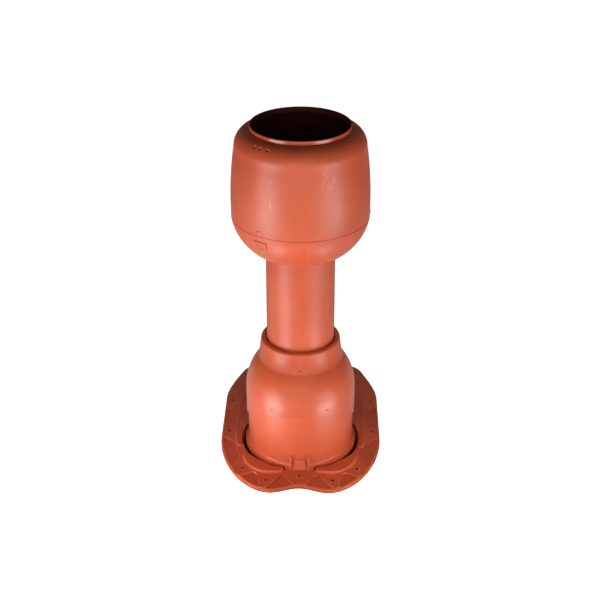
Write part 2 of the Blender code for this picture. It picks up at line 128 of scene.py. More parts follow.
bpy.ops.mesh.primitive_plane_add(size=FLOOR_SIZE, location=(0, 0, 0))
floor = bpy.context.object
floor.name = "studio_floor"
floor_white = plain_material("studio_white", STUDIO_GREY, 0.8, STUDIO_GLOW)
floor.data.materials.append(floor_white)
floor.visible_diffuse = False
floor.visible_glossy = False

bpy.ops.mesh.primitive_uv_sphere_add(segments=48, ring_count=24, radius=BACKDROP_RADIUS, location=(0, 0, 0))
backdrop = bpy.context.object
backdrop.name = "studio_backdrop"
backdrop.data.materials.append(plain_material("studio_backdrop_white", STUDIO_GREY, 0.8, STUDIO_GLOW))
backdrop.visible_diffuse = False
backdrop.visible_glossy = False
backdrop.visible_transmission = False
backdrop.visible_shadow = False
print("floor of", FLOOR_SIZE, "m, with a backdrop round it")

# %% [markdown]
# In the photograph the upright faces carry two soft bright bands, and every face that looks up is dark.
# So most lights lie on the floor to the left and right of the camera, where the walls mirror them towards
# it. The rest is weak: low panels for the flange's edges, broad fills in front and behind, and one soft spot
# from above on the front of the flange, which gives no glint of its own on the shoulders.


# %% Lights
PANEL_LIFT = 0.0008
AIR_GLOW = 0.07
bpy.context.scene.view_settings.view_transform = "Standard"
world = bpy.data.worlds.new("studio_air")
world.use_nodes = True
world.node_tree.nodes["Background"].inputs["Color"].default_value = (1, 1, 1, 1)
world.node_tree.nodes["Background"].inputs["Strength"].default_value = AIR_GLOW
bpy.context.scene.world = world


def panel(name, turn, distance, height, lean, width, length, radiance):
    """A soft panel; turn is its angle from the front to the right, and lean is 90 upright, 180 face up."""
    side = math.radians(turn)
    place = Vector((math.sin(side) * distance, AXIS_Y - math.cos(side) * distance, height))
    bpy.ops.object.light_add(type="AREA", location=place)
    made = bpy.context.object
    made.name = name
    made.rotation_euler = (math.radians(lean), 0, side)
    made.data.shape = "RECTANGLE"
    made.data.size = width
    made.data.size_y = length
    made.data.energy = radiance * math.pi * width * length
    made.visible_camera = False


# Panels on the floor: turn, nearest and farthest distance from the axis, width, radiance.
FLOOR_PANELS = (("left_near", -47, 0.34, 0.54, 0.20, 5.2), ("right_near", 47, 0.36, 0.56, 0.20, 6.0),
                ("left_pipe", -51, 0.62, 1.05, 0.42, 2.2), ("left_hood", -51, 1.2, 2.4, 0.85, 10.5),
                ("right_hood", 51, 1.2, 2.4, 0.85, 8.2), ("left_far", -51, 2.4, 5.5, 2.0, 6.5),
                ("right_far", 51, 2.4, 5.5, 2.0, 6.5), ("front_wash", 0, 0.216, 3.2, 4.0, 0.46),
                ("back_wash", 180, 0.345, 3.2, 4.0, 0.20), ("left_wash", -90, 0.20, 2.5, 2.5, 0.60),
                ("right_wash", 90, 0.20, 2.5, 2.5, 0.45))
for name, turn, near, far, width, radiance in FLOOR_PANELS:
    panel(name, turn, (near + far) / 2, PANEL_LIFT, 180, width, far - near, radiance)

# Upright panels: turn, distance from the axis, lowest and highest height, width, radiance.
UPRIGHT_PANELS = (("left_low", -47, 0.42, 0.0, 0.07, 0.25, 10.0),
                  ("right_low", 47, 0.42, 0.0, 0.07, 0.25, 6.5),
                  ("front_low", 0, 0.60, 0.0, 0.05, 0.80, 2.5),
                  ("front_fill", 0, 1.9, 0.3, 1.4, 2.2, 1.1),
                  ("back_fill", 180, 2.0, 0.3, 1.9, 2.4, 0.9))
for name, turn, distance, low, high, width, radiance in UPRIGHT_PANELS:
    panel(name, turn, distance, (low + high) / 2, 90, width, high - low, radiance)
bpy.data.objects["back_fill"].visible_glossy = False

bpy.ops.object.light_add(type="SPOT", location=(0, AXIS_Y - 1.25, 1.75))
flange_spot = bpy.context.object
flange_spot.name = "flange_spot"
flange_spot.rotation_euler = (math.radians(32), 0, 0)
flange_spot.data.energy = 75
flange_spot.data.shadow_soft_size = 0.25
flange_spot.data.spot_size = math.radians(26)
flange_spot.data.spot_blend = 1.0
flange_spot.visible_glossy = False

# %% [markdown]
# Shader maths reads better as plain arithmetic than as a web of links. One small class wraps a node's output,
# and each operator adds the Math node that does it.


# %% Shader arithmetic
class Flow:
    """A value that flows between shader nodes, with arithmetic."""

    def __init__(self, tree, socket):
        self.tree = tree
        self.socket = socket

    def node(self, kind, settings=None, output=0, **values):
        """Add a node: its settings first, then the values or links of its inputs, by name or place."""
        made = self.tree.nodes.new(kind)
        for name, value in (settings or {}).items():
            setattr(made, name, value)
        for name, value in values.items():
            key = int(name[1:]) if name[1:].isdigit() else name.replace("_", " ")
            if isinstance(value, Flow):
                self.tree.links.new(value.socket, made.inputs[key])
            else:
                made.inputs[key].default_value = value
        return Flow(self.tree, made.outputs[output])

    def maths(self, operation, first, second=0.0):
        """Add a Math node with one or two inputs."""
        return self.node("ShaderNodeMath", {"operation": operation}, i0=first, i1=second)

    def __add__(self, other):
        return self.maths("ADD", self, other)

    def __radd__(self, other):
        return self.maths("ADD", other, self)

    def __sub__(self, other):
        return self.maths("SUBTRACT", self, other)

    def __rsub__(self, other):
        return self.maths("SUBTRACT", other, self)

    def __mul__(self, other):
        return self.maths("MULTIPLY", self, other)

    def __rmul__(self, other):
        return self.maths("MULTIPLY", other, self)

    def __truediv__(self, other):
        return self.maths("DIVIDE", self, other)

    def band(self, low, high):
        """0 below low, 1 above high, and smooth between; high may be the smaller one."""
        return self.node("ShaderNodeMapRange", {"interpolation_type": "SMOOTHSTEP"}, i0=self, i1=low, i2=high)


print("shader arithmetic ready")

# %% [markdown]
# Under the flange the floor doesn't glow: a painted shadow, so that the screw holes stay dark. A length
# worked out from the floor's own coordinates makes the dark oval, and so it needs no second sheet.

# %% Painted shadow on the floor under the flange
UNDER_X = 0.185
UNDER_Y = 0.255
tree = floor_white.node_tree
spot = Flow(tree, None).node("ShaderNodeTexCoord", output=3)
under = (1 / UNDER_X, 1 / UNDER_Y, 0)
squeezed = spot.node("ShaderNodeVectorMath", {"operation": "MULTIPLY"}, i0=spot, i1=under)
# Painted shadow: no glow inside the oval under the flange.
clear = squeezed.node("ShaderNodeVectorMath", {"operation": "LENGTH"}, 1, i0=squeezed).band(0.8, 1.0)
tree.links.new(clear.socket, tree.nodes["Principled BSDF"].inputs["Emission Color"])
print("floor is dark under the flange")

# %% [markdown]
# The plastic is one satin terracotta. Real mouldings are never even: the colour drifts a little where the
# melt flowed, fine dust dulls the faces, and handling leaves small pale scuffs. All of it is worked out from
# the object's own coordinates, so nothing slides when the view changes.

# %% Terracotta plastic
CLAY_RED = (0.60, 0.098, 0.034, 1)
CLAY_DEEP = (0.52, 0.078, 0.026, 1)
CLAY_PALE = (0.70, 0.16, 0.075, 1)
CLAY_DARK = (0.30, 0.035, 0.012, 1)
SATIN = 0.40


def mixed(flow, share, first, second):
    """Blend of two colours; either may be a flow."""
    return flow.node("ShaderNodeMix", {"data_type": "RGBA"}, 2, i0=share, i6=first, i7=second)


def parts_of(flow):
    """The x, y and z of a vector."""
    split = flow.node("ShaderNodeSeparateXYZ", i0=flow).socket.node
    return [Flow(flow.tree, output) for output in split.outputs]


def terracotta(name, seed, satin, finish):
    """Moulded terracotta plastic; finish adds a piece's own marks to the colour, roughness and bump."""
    made = bpy.data.materials.new(name)
    made.use_nodes = True
    tree = made.node_tree
    shader = tree.nodes["Principled BSDF"]
    start = Flow(tree, None)
    place = start.node("ShaderNodeTexCoord", output=3)
    moved = start.node("ShaderNodeMapping", i0=place, i1=(seed * 1.7, seed * 0.9, seed * 2.3))
    drift = start.node("ShaderNodeTexNoise", Vector=moved, Scale=7.0, Detail=3.0)
    grain = start.node("ShaderNodeTexNoise", Vector=moved, Scale=900.0, Detail=2.0)
    dust = start.node("ShaderNodeTexNoise", Vector=moved, Scale=38.0, Detail=6.0, Roughness=0.62)
    colour = mixed(start, drift.band(0.35, 0.70), CLAY_RED, CLAY_DEEP)
    colour = mixed(start, dust.band(0.60, 0.80) * 0.18, colour, CLAY_PALE)
    rough = satin + (dust - 0.5) * 0.10 + (grain - 0.5) * 0.04
    height = grain * 0.00002 + drift * 0.0004
    colour, rough, height = finish(start, place, colour, rough, height)
    bump = start.node("ShaderNodeBump", Height=height, Strength=0.6, Distance=1.0)
    tree.links.new(colour.socket, shader.inputs["Base Color"])
    tree.links.new(rough.socket, shader.inputs["Roughness"])
    tree.links.new(bump.socket, shader.inputs["Normal"])
    shader.inputs["Specular IOR Level"].default_value = 0.5
    return made


print("plastic ready")

# %% [markdown]
# A turned shell is made as on a potter's wheel: a circle is laid down, pulled up or down and widened or
# narrowed from each point of the profile to the next, and joined to its own start. The wall's inner face is
# part of the same profile, so every shell has its true thickness.


# %% Turned shells
def alone():
    """Deselect everything."""
    if bpy.context.object and bpy.context.object.mode != "OBJECT":
        bpy.ops.object.mode_set(mode="OBJECT")
    bpy.ops.object.select_all(action="DESELECT")


def chosen(piece):
    """Select one piece alone."""
    alone()
    bpy.context.view_layer.objects.active = piece
    piece.select_set(True)


def edit(piece):
    """Open one piece in edit mode with everything on it selected."""
    chosen(piece)
    bpy.ops.object.mode_set(mode="EDIT")
    bpy.ops.mesh.select_all(action="SELECT")


def settle(piece):
    """Merge doubles, turn the faces outwards and put the piece's place into its mesh."""
    edit(piece)
    bpy.ops.mesh.remove_doubles(threshold=MERGE)
    bpy.ops.mesh.normals_make_consistent(inside=False)
    bpy.ops.object.mode_set(mode="OBJECT")
    bpy.ops.object.transform_apply(location=True, rotation=True, scale=True)
    return piece


def turned(name, profile):
    """A shell from a closed profile of (radius, height) points round the axis."""
    alone()
    first = profile[0]
    bpy.ops.mesh.primitive_circle_add(vertices=ROUND_STEPS, radius=first[0], location=(0, AXIS_Y, first[1]))
    piece = bpy.context.object
    piece.name = name
    edit(piece)
    for (radius, height), (wider, higher) in zip(profile, profile[1:] + profile[:1]):
        bpy.ops.mesh.extrude_edges_move(TRANSFORM_OT_translate={"value": (0, 0, higher - height)})
        share = wider / radius
        bpy.ops.transform.resize(value=(share, share, 1), center_override=(0, AXIS_Y, higher))
    return settle(piece)


def bent(value, power):
    """A sine or cosine bent for a superellipse of that power, with its sign kept; 2 changes nothing."""
    return math.copysign(abs(value) ** (2 / power), value)


def arc(centre, radii, start, end, steps, power=2):
    """Points of an ellipse's or superellipse's arc; angles in degrees from outwards to upwards."""
    points = []
    for i in range(steps + 1):
        angle = math.radians(start + (end - start) * i / steps)
        points.append((centre[0] + radii[0] * bent(math.cos(angle), power),
                       centre[1] + radii[1] * bent(math.sin(angle), power)))
    return points


def rounding(centre, radius, start, end, steps):
    """Points of a circle's arc, with angles as in arc."""
    return arc(centre, (radius, radius), start, end, steps)


def finished(piece, node, material, angle=40):
    """Shade a piece, give it its plastic and let it stand for its solid."""
    chosen(piece)
    bpy.ops.object.shade_smooth_by_angle(angle=math.radians(angle))
    piece.data.materials.clear()
    piece.data.materials.append(material)
    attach(piece, "root")
    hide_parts(node)
    print(piece.name, len(piece.data.polygons), "faces")


print("turning ready")

# %% [markdown]
# Small marks are cut with a second piece, which the Boolean uses up. Pieces that only overlap are joined
# into one object without one: closed shells that run into each other look like one moulding.


# %% Cutting and joining
def cut(piece, tool, operation="DIFFERENCE"):
    """Cut one piece with another, or keep only what both share, and use the other one up."""
    chosen(piece)
    bpy.ops.object.modifier_add(type="BOOLEAN")
    step = piece.modifiers[-1]
    step.operation = operation
    step.object = tool
    bpy.ops.object.modifier_apply(modifier=step.name)
    bpy.data.objects.remove(tool, do_unlink=True)


def on_axis(radius, turn, height):
    """A place at a distance from the axis; turn is the angle from the front, in degrees, to the right."""
    side = math.radians(turn)
    return (radius * math.sin(side), AXIS_Y - radius * math.cos(side), height)


def joined(name, pieces):
    """Several pieces as one object; where they overlap, they stay closed shells of their own."""
    alone()
    for piece in pieces:
        piece.select_set(True)
    bpy.context.view_layer.objects.active = pieces[0]
    bpy.ops.object.join()
    pieces[0].name = name
    return pieces[0]


def ball(radius, place, segments=24, rings=12, turn=0):
    """A ball with nothing else selected."""
    alone()
    bpy.ops.mesh.primitive_uv_sphere_add(segments=segments, ring_count=rings, radius=radius, location=place,
                                         rotation=(0, 0, math.radians(turn)))
    return bpy.context.object


def peg(radius, length, place, sides=20):
    """An upright round peg with nothing else selected."""
    alone()
    bpy.ops.mesh.primitive_cylinder_add(vertices=sides, radius=radius, depth=length, location=place)
    return bpy.context.object


print("cutting and joining ready")

# %% [markdown]
# The hood's upper half is a round-shouldered shell with an open mouth. Its rim is a narrow upright band that
# stands just proud of the dark shoulder under it. One profile holds both faces of the wall, from the seam up
# the outside, over the rim and down the inside, so nothing has to be hollowed out afterwards.

# %% Hood, upper half
SHOULDER_HEIGHT = hood_high.z - 0.049
SHOULDER_TAPER = 0.0099
WIDEST_HEIGHT = hood_low.z + 0.033
RIM_RADIUS = 0.1122
RIM_WALL = 0.0037
RIM_DEPTH = 0.0095
RIM_OVERHANG = 0.0012
RIM_ROUND = 0.0016
SEAM_ROUND = 0.0009


def hood_side(radius, steps):
    """Side of the hood as it leans in from its widest height up to the shoulder."""
    climb = SHOULDER_HEIGHT - WIDEST_HEIGHT
    return [(radius - SHOULDER_TAPER * (i / steps) ** 2, WIDEST_HEIGHT + climb * i / steps)
            for i in range(steps + 1)]


rim_foot = hood_high.z - RIM_DEPTH
mouth = RIM_RADIUS - RIM_WALL
neck = RIM_RADIUS - RIM_OVERHANG
hood_profile = rounding((HOOD_RADIUS - SEAM_ROUND, hood_low.z + SEAM_ROUND), SEAM_ROUND, -90, 0, 3)
hood_profile += hood_side(HOOD_RADIUS, 10)
shoulder_reach = HOOD_RADIUS - SHOULDER_TAPER - neck
hood_profile += arc((neck, SHOULDER_HEIGHT), (shoulder_reach, rim_foot - SHOULDER_HEIGHT), 0, 88, 20)[1:]
hood_profile += [(neck, rim_foot + 0.0003), (RIM_RADIUS, rim_foot + 0.0008)]
hood_profile += rounding((RIM_RADIUS - RIM_ROUND, hood_high.z - RIM_ROUND), RIM_ROUND, 0, 90, 5)
hood_profile += rounding((mouth + RIM_ROUND, hood_high.z - RIM_ROUND), RIM_ROUND, 90, 180, 5)
inner_reach = HOOD_RADIUS - WALL - SHOULDER_TAPER - mouth
hood_profile += arc((mouth, SHOULDER_HEIGHT), (inner_reach, rim_foot - WALL - SHOULDER_HEIGHT), 90, 0, 12)
hood_profile += list(reversed(hood_side(HOOD_RADIUS - WALL, 6)))[1:]
hood_profile += [(HOOD_RADIUS - WALL, hood_low.z)]
hood = turned("hood_upper_shell", hood_profile)
print("hood turned with", len(hood_profile), "corners in its profile")

# %% [markdown]
# Three small catches clip the hood's halves together, evenly spaced round it: each shows as a low bulge just
# above the seam. Three shallow dimples are moulded in the shoulder, each cut with a ball that barely dips in.

# %% Marks on the hood
LATCH_TURNS = (-33.8, 86.2, 206.2)
CATCH_HALF = (0.0090, 0.0014, 0.0060)
CATCH_SINK = 0.0004
CATCH_RISE = 0.0075
DIMPLE_TURNS = (-45.0, -38.5, -30.0)
SHOULDER_DIMPLE = 0.0052
dimple_reach = HOOD_RADIUS - 0.0204
dimple_height = hood_high.z - 0.0170

for turn in DIMPLE_TURNS:
    cut(hood, ball(SHOULDER_DIMPLE, on_axis(dimple_reach, turn, dimple_height)))

catches = []
for turn in LATCH_TURNS:
    catch = ball(1, on_axis(HOOD_RADIUS - CATCH_SINK, turn, hood_low.z + CATCH_RISE), turn=turn)
    catch.scale = CATCH_HALF
    catches.append(settle(catch))
hood = joined("hood_upper_shell", [hood] + catches)
print("hood with", len(catches), "catches and", len(DIMPLE_TURNS), "dimples")

# %% [markdown]
# The shell carries a few pale scuffs, drawn out downwards, where it was handled: small windows on the
# surface, filled with stretched noise. The rim is polished by use. The inside is darkened with painted shade:
# the normal, which points to the axis there, tells it apart.

# %% Hood finish
SCUFFS = ((-0.0615, 0.756, 0.0062, 0.0040), (-0.0615, 0.704, 0.0026, 0.0110), (0.0545, 0.768, 0.0080, 0.0190),
          (0.0640, 0.742, 0.0050, 0.0100), (0.0470, 0.746, 0.0030, 0.0070), (0.0730, 0.758, 0.0030, 0.0090))
CLAY_SCUFF = (0.86, 0.36, 0.22, 1)
# The colour of painted shade.
CLAY_SHADE = (0.05, 0.006, 0.002, 1)


def scuffs_and_painted_shade(start, place, colour, rough, height):
    """Pale scuffs in a few small windows on the front, a polished rim and painted shade on the inside."""
    x, y, z = parts_of(place)
    stretched = start.node("ShaderNodeMapping", i0=place, i1=(0.37, 0.11, 0.05), i3=(1, 1, 0.16))
    streaks = start.node("ShaderNodeTexNoise", Vector=stretched, Scale=360.0, Detail=4.0, Roughness=0.7)
    window = 0.0
    for across, up, half_width, half_height in SCUFFS:
        aside = (x - across) / half_width
        above = (z - up) / half_height
        window = (aside * aside + above * above).band(1.0, 0.3) + window
    marks = window * streaks.band(0.49, 0.58) * y.band(AXIS_Y, AXIS_Y - 0.02)
    nx, ny, _ = parts_of(start.node("ShaderNodeTexCoord", output=1))
    inside = (nx * x + ny * (y - AXIS_Y)).band(0.002, -0.006)
    rim = z.band(rim_foot, rim_foot + 0.001)
    colour = mixed(start, marks * 0.55, colour, CLAY_SCUFF)
    # Painted shade on the inside of the hood.
    colour = mixed(start, inside * 0.85, colour, CLAY_SHADE)
    return colour, rough - marks * 0.06 - rim * 0.21 + inside * 0.4, height


finished(hood, "hood_shell", terracotta("hood_terracotta", 1, SATIN, scuffs_and_painted_shade))

# %% [markdown]
# The hood's lower half is a bowl that curves in to a neck, which sleeves the pipe and stops on its end. The
# bowl runs a little straighter than an ellipse would, so its curve is a superellipse of a lower power. A
# spigot on top goes into the upper half, with a gap so small that only the seam's line shows.

# %% Hood, lower half
BOWL_POWER = 1.6
BOWL_LIP = 0.0057
NECK_GAP = 0.0003
STOP_THICKNESS = 0.003
pipe_bore = PIPE_RADIUS - WALL
seam_height = hood_low.z - NECK_GAP
stop_height = pipe_high.z + NECK_GAP
stop_top = stop_height + STOP_THICKNESS
neck_bore = PIPE_RADIUS + NECK_GAP
neck_radius = neck_bore + WALL
lip_radius = neck_bore + BOWL_LIP
spigot = HOOD_RADIUS - WALL - NECK_GAP
bowl_height = seam_height - bowl_low.z
bowl_profile = [(spigot, bowl_high.z), (spigot, seam_height)]
bowl_profile += rounding((HOOD_RADIUS - SEAM_ROUND, seam_height - SEAM_ROUND), SEAM_ROUND, 90, 0, 3)
bowl_curve = (HOOD_RADIUS - lip_radius, bowl_height)
bowl_profile += arc((lip_radius, seam_height), bowl_curve, -3, -90, 26, BOWL_POWER)
bowl_profile += [(neck_bore, bowl_low.z), (neck_bore, stop_height), (pipe_bore, stop_height)]
bowl_profile += [(pipe_bore, stop_top), (neck_radius, stop_top)]
inner_curve = (spigot - WALL - neck_radius, bowl_height - WALL)
bowl_profile += arc((neck_radius, seam_height), inner_curve, -90, 0, 14, BOWL_POWER)
bowl_profile += [(spigot - WALL, bowl_high.z)]
bowl = turned("hood_lower_bowl", bowl_profile)
print("bowl turned with", len(bowl_profile), "corners in its profile")

# %% [markdown]
# Below each catch the bowl is slit on three sides, so that the tongue inside can spring. The slit is deep
# along its top and one side and fades along the bottom: three thin bars cut it, each set to the bowl's slope.

# %% Latch slits
SLIT_WIDTH = 0.0021
SLIT_DEPTH = 0.0024
SLIT_LENGTH = 0.0312
SLIT_FALL = 0.0190
BAR_DEPTH = 0.006
slit_top = seam_height - 0.0137
slit_bottom = seam_height - 0.0332


def bowl_reach(height):
    """Outer radius of the bowl at a height."""
    fall = ((seam_height - height) / bowl_height) ** (BOWL_POWER / 2)
    return lip_radius + (HOOD_RADIUS - lip_radius) * (1 - fall * fall) ** (1 / BOWL_POWER)


def slit_bar(turn, height, length, rise, depth, lean):
    """Cut the bowl with a thin bar; lean is how far the bowl slopes in there, in degrees."""
    alone()
    place = on_axis(bowl_reach(height) - depth + BAR_DEPTH / 2, turn, height)
    tilt = (math.radians(lean), 0, math.radians(turn))
    bpy.ops.mesh.primitive_cube_add(size=1, location=place, rotation=tilt)
    bpy.context.object.scale = (length, BAR_DEPTH, rise)
    cut(bowl, settle(bpy.context.object))


for turn in LATCH_TURNS:
    slit_bar(turn, slit_top, SLIT_LENGTH, SLIT_WIDTH, SLIT_DEPTH, 12)
    slit_bar(turn + 5.8, (slit_top + slit_bottom) / 2 + 0.001, SLIT_WIDTH, SLIT_FALL, SLIT_DEPTH, 20)
    slit_bar(turn - 0.5, slit_bottom, SLIT_FALL, SLIT_WIDTH * 0.6, SLIT_DEPTH * 0.4, 27)
print("bowl with its slits", len(bowl.data.polygons), "faces")

# %% [markdown]
# In the photograph a faint pale line runs down the front of the bowl, where the melt met again in the mould.
# It's painted, since it has no depth. The underside is darkened with painted shade.


# %% Bowl finish
STREAK_PLACE = 0.0184


def streak_and_painted_shade(start, place, colour, rough, height):
    """A faint pale streak down the front, where the melt met again in the mould, and painted shade on the
    underside.
    """
    x, y, z = parts_of(place)
    line = start.maths("ABSOLUTE", x - STREAK_PLACE).band(0.0024, 0.0003)
    line = line * z.band(0.611, 0.600) * y.band(AXIS_Y, AXIS_Y - 0.02)
    # Painted shade: the bowl darkens towards its underside.
    colour = mixed(start, z.band(0.618, 0.565) * 0.26, colour, CLAY_DARK)
    return mixed(start, line * 0.15, colour, CLAY_SCUFF), rough - line * 0.05, height


finished(bowl, "hood_bowl", terracotta("bowl_terracotta", 2, SATIN, streak_and_painted_shade))

# %% [markdown]
# The pipe is a plain tube with a thin bead just above the collar, where the moulding's parting line runs. It
# is turned like the shells, because a plain cylinder would have neither wall, softened ends nor bead.

# %% Pipe
BEAD_HEIGHT = dome_high.z + 0.0035
BEAD_REACH = 0.0011
BEAD_HALF = 0.0016
EDGE = 0.0006
pipe_profile = [(PIPE_RADIUS - EDGE, pipe_low.z), (PIPE_RADIUS, pipe_low.z + EDGE)]
pipe_profile += [(PIPE_RADIUS, BEAD_HEIGHT - BEAD_HALF)]
pipe_profile += arc((PIPE_RADIUS, BEAD_HEIGHT), (BEAD_REACH, BEAD_HALF), -60, 60, 4)
pipe_profile += [(PIPE_RADIUS, BEAD_HEIGHT + BEAD_HALF)]
pipe_profile += [(PIPE_RADIUS, pipe_high.z - EDGE), (PIPE_RADIUS - EDGE, pipe_high.z)]
pipe_profile += [(pipe_bore, pipe_high.z), (pipe_bore, pipe_low.z)]
pipe = turned("vent_pipe", pipe_profile)


def polished_bead(start, place, colour, rough, height):
    """The bead is smoother than the pipe, and catches the light."""
    _, _, z = parts_of(place)
    above = start.maths("ABSOLUTE", z - BEAD_HEIGHT)
    return colour, rough - above.band(BEAD_HALF * 1.4, BEAD_HALF) * 0.24, height


finished(pipe, "pipe", terracotta("pipe_terracotta", 3, SATIN, polished_bead))

# %% [markdown]
# The dome is a ball shell with a collar on top, which takes the pipe on a seat inside. Its profile follows
# the ball from the collar's foot down to its widest place, and then drops straight as a skirt.

# %% Dome
COLLAR_WALL = 0.012
COLLAR_CLEARANCE = 0.002
COLLAR_FLARE = 0.0055
COLLAR_HEIGHT = 0.050
COLLAR_ROUND = 0.005

collar_bore = PIPE_RADIUS + COLLAR_CLEARANCE
collar_radius = collar_bore + COLLAR_WALL
collar_foot = collar_radius + COLLAR_FLARE
BALL_HEIGHT = dome_high.z - COLLAR_HEIGHT - math.sqrt(DOME_RADIUS ** 2 - collar_foot ** 2)
ball_centre = (0, BALL_HEIGHT)
inner_ball = DOME_RADIUS - WALL
pipe_seat = pipe_low.z - NECK_GAP
seat_angle = math.degrees(math.acos(pipe_bore / inner_ball))
foot_angle = math.degrees(math.acos(collar_foot / DOME_RADIUS))
bore_round = COLLAR_ROUND / 2
dome_profile = rounding((collar_bore + bore_round, dome_high.z - bore_round), bore_round, 180, 90, 4)
dome_profile += rounding((collar_radius - COLLAR_ROUND, dome_high.z - COLLAR_ROUND), COLLAR_ROUND, 90, 0, 6)
dome_profile += rounding(ball_centre, DOME_RADIUS, foot_angle, 0, 24)
dome_profile += [(DOME_RADIUS, dome_low.z), (inner_ball, dome_low.z)]
dome_profile += rounding(ball_centre, inner_ball, 0, seat_angle, 16)
dome_profile += [(pipe_bore, pipe_seat), (collar_bore, pipe_seat)]
dome = turned("dome_cover", dome_profile)
print("dome turned with", len(dome_profile), "corners in its profile")

# %% [markdown]
# The skirt is cut on the slant, so that it clears the roof tiles when the dome leans: one large box, leaning
# by the same angle, cuts it. Two shallow dimples mark the screws that lock it, and a short groove in the
# collar marks its middle. A thin dark line along the cut is painted shadow, where the joint lies in shade.

# %% Cuts in the dome
SKIRT_SIDE_HEIGHT = 0.087
SKIRT_SLANT = math.radians(28.4)
DIMPLE_TURN = 29.5
DIMPLE_RADIUS = 0.0034
DIMPLE_STAND = 0.0016
GROOVE_HEIGHT = 0.275
GROOVE_RADIUS = 0.0028
GROOVE_LENGTH = 0.024
GROOVE_STAND = 0.0045
DOME_SATIN = 0.36

box_size = 4 * DOME_RADIUS
alone()
bpy.ops.mesh.primitive_cube_add(size=box_size, location=(0, AXIS_Y, SKIRT_SIDE_HEIGHT - box_size / 2))
slant_box = bpy.context.object
edit(slant_box)
bpy.ops.transform.rotate(value=SKIRT_SLANT, orient_axis="X", center_override=(0, AXIS_Y, SKIRT_SIDE_HEIGHT))
bpy.ops.object.mode_set(mode="OBJECT")
cut(dome, slant_box)
for side in (-1, 1):
    place = on_axis(DOME_RADIUS + DIMPLE_STAND, side * DIMPLE_TURN, BALL_HEIGHT)
    cut(dome, ball(DIMPLE_RADIUS, place, 20, 10))
cut(dome, peg(GROOVE_RADIUS, GROOVE_LENGTH, on_axis(collar_radius + GROOVE_STAND, 0, GROOVE_HEIGHT), 16))
print("dome cut,", len(dome.data.polygons), "faces")


def skirt_shadow(start, place, colour, rough, height):
    """A thin line of painted shadow along the skirt's cut edge, where the joint lies in shade."""
    _, y, z = parts_of(place)
    above_cut = (z - SKIRT_SIDE_HEIGHT) * math.cos(SKIRT_SLANT) + (y - AXIS_Y) * math.sin(SKIRT_SLANT)
    # Painted shadow along the cut edge of the skirt.
    line = above_cut.band(0.0011, 0.0004)
    return mixed(start, line * 0.75, colour, CLAY_DARK), rough + line * 0.2, height


finished(dome, "dome", terracotta("dome_terracotta", 4, DOME_SATIN, skirt_shadow))

# %% [markdown]
# The base has no primitive near its shape, so its outlines are drawn: a plane is merged to one point, which
# is extruded from corner to corner and closed with a face. A few small curves give the corners.


# %% Outlines
def between(a, b, c, d, t):
    """A value that goes smoothly from b to c as t goes from 0 to 1; a and d are their neighbours."""
    return b + t * ((c - a) + t * ((2 * a - 5 * b + 4 * c - d) + t * (3 * b - a - 3 * c + d))) / 2


def smooth_path(points, steps):
    """A smooth open curve through the given points."""
    ends = [points[0]] + list(points) + [points[-1]]
    curve = []
    for four in zip(ends, ends[1:], ends[2:], ends[3:]):
        curve += [tuple(between(*values, i / steps) for values in zip(*four)) for i in range(steps)]
    return curve + [tuple(points[-1])]


def bezier(start, pull_start, pull_end, end, steps):
    """Cubic curve, without its first point."""
    points = []
    for i in range(1, steps + 1):
        t = i / steps
        s = 1 - t
        points.append(tuple(s ** 3 * a + 3 * s * s * t * b + 3 * s * t * t * c + t ** 3 * d
                            for a, b, c, d in zip(start, pull_start, pull_end, end)))
    return points


def mirrored(points):
    """The same points on the left side, in reverse order."""
    return [(-x, y) for x, y in reversed(points)]


def drawn(name, corners):
    """A flat face drawn corner by corner, open in edit mode and all selected."""
    corners = [Vector(corner) for corner in corners]
    alone()
    bpy.ops.mesh.primitive_plane_add(size=0.01, location=corners[0])
    piece = bpy.context.object
    piece.name = name
    bpy.ops.object.transform_apply(location=True, rotation=True, scale=True)
    edit(piece)
    bpy.ops.mesh.merge(type="CENTER")
    for here, there in zip(corners, corners[1:]):
        bpy.ops.mesh.extrude_vertices_move(TRANSFORM_OT_translate={"value": there - here})
    bpy.ops.mesh.select_all(action="SELECT")
    bpy.ops.mesh.edge_face_add()
    return piece


def on_floor(points, height):
    """Plan points about the barrel's axis as places in the frame."""
    return [(x, y + AXIS_Y, height) for x, y in points]


def pulled_up(by):
    """Extrude what is selected straight up, or down if by is below zero."""
    bpy.ops.mesh.extrude_region_move(TRANSFORM_OT_translate={"value": (0, 0, by)})


def inset_end(piece, pick, thickness, depth):
    """Inset the highest or lowest face of a piece in edit mode; pick is max or min."""
    bpy.ops.mesh.select_all(action="DESELECT")
    mesh = bmesh.from_edit_mesh(piece.data)
    pick(mesh.faces, key=lambda face: face.calc_center_median().z).select_set(True)
    bmesh.update_edit_mesh(piece.data)
    bpy.ops.mesh.inset(thickness=thickness, depth=depth, use_even_offset=True)


print("drawing ready")

# %% [markdown]
# The flange is the plate that the tiles lie over. Its edge has two round lobes in front, straight sides and
# drawn-in back corners. The outline is pulled up to the plate's height, and its upper edge is rounded by
# small insets that climb a quarter circle, because a bevel would catch on the closely set corners.


# %% Flange
LOBE = 0.070
FRONT_DIP = 0.0165
CORNER_POWER = 1.8
SIDE_LENGTH = 0.179
BACK_INSET = 0.0365
BACK_LENGTH = 0.131
BACK_ROUND = 0.035
FLANGE_HEIGHT = 0.010
EDGE_ROUND = 0.005
EDGE_STEPS = 6
UNDERSIDE = 0.0


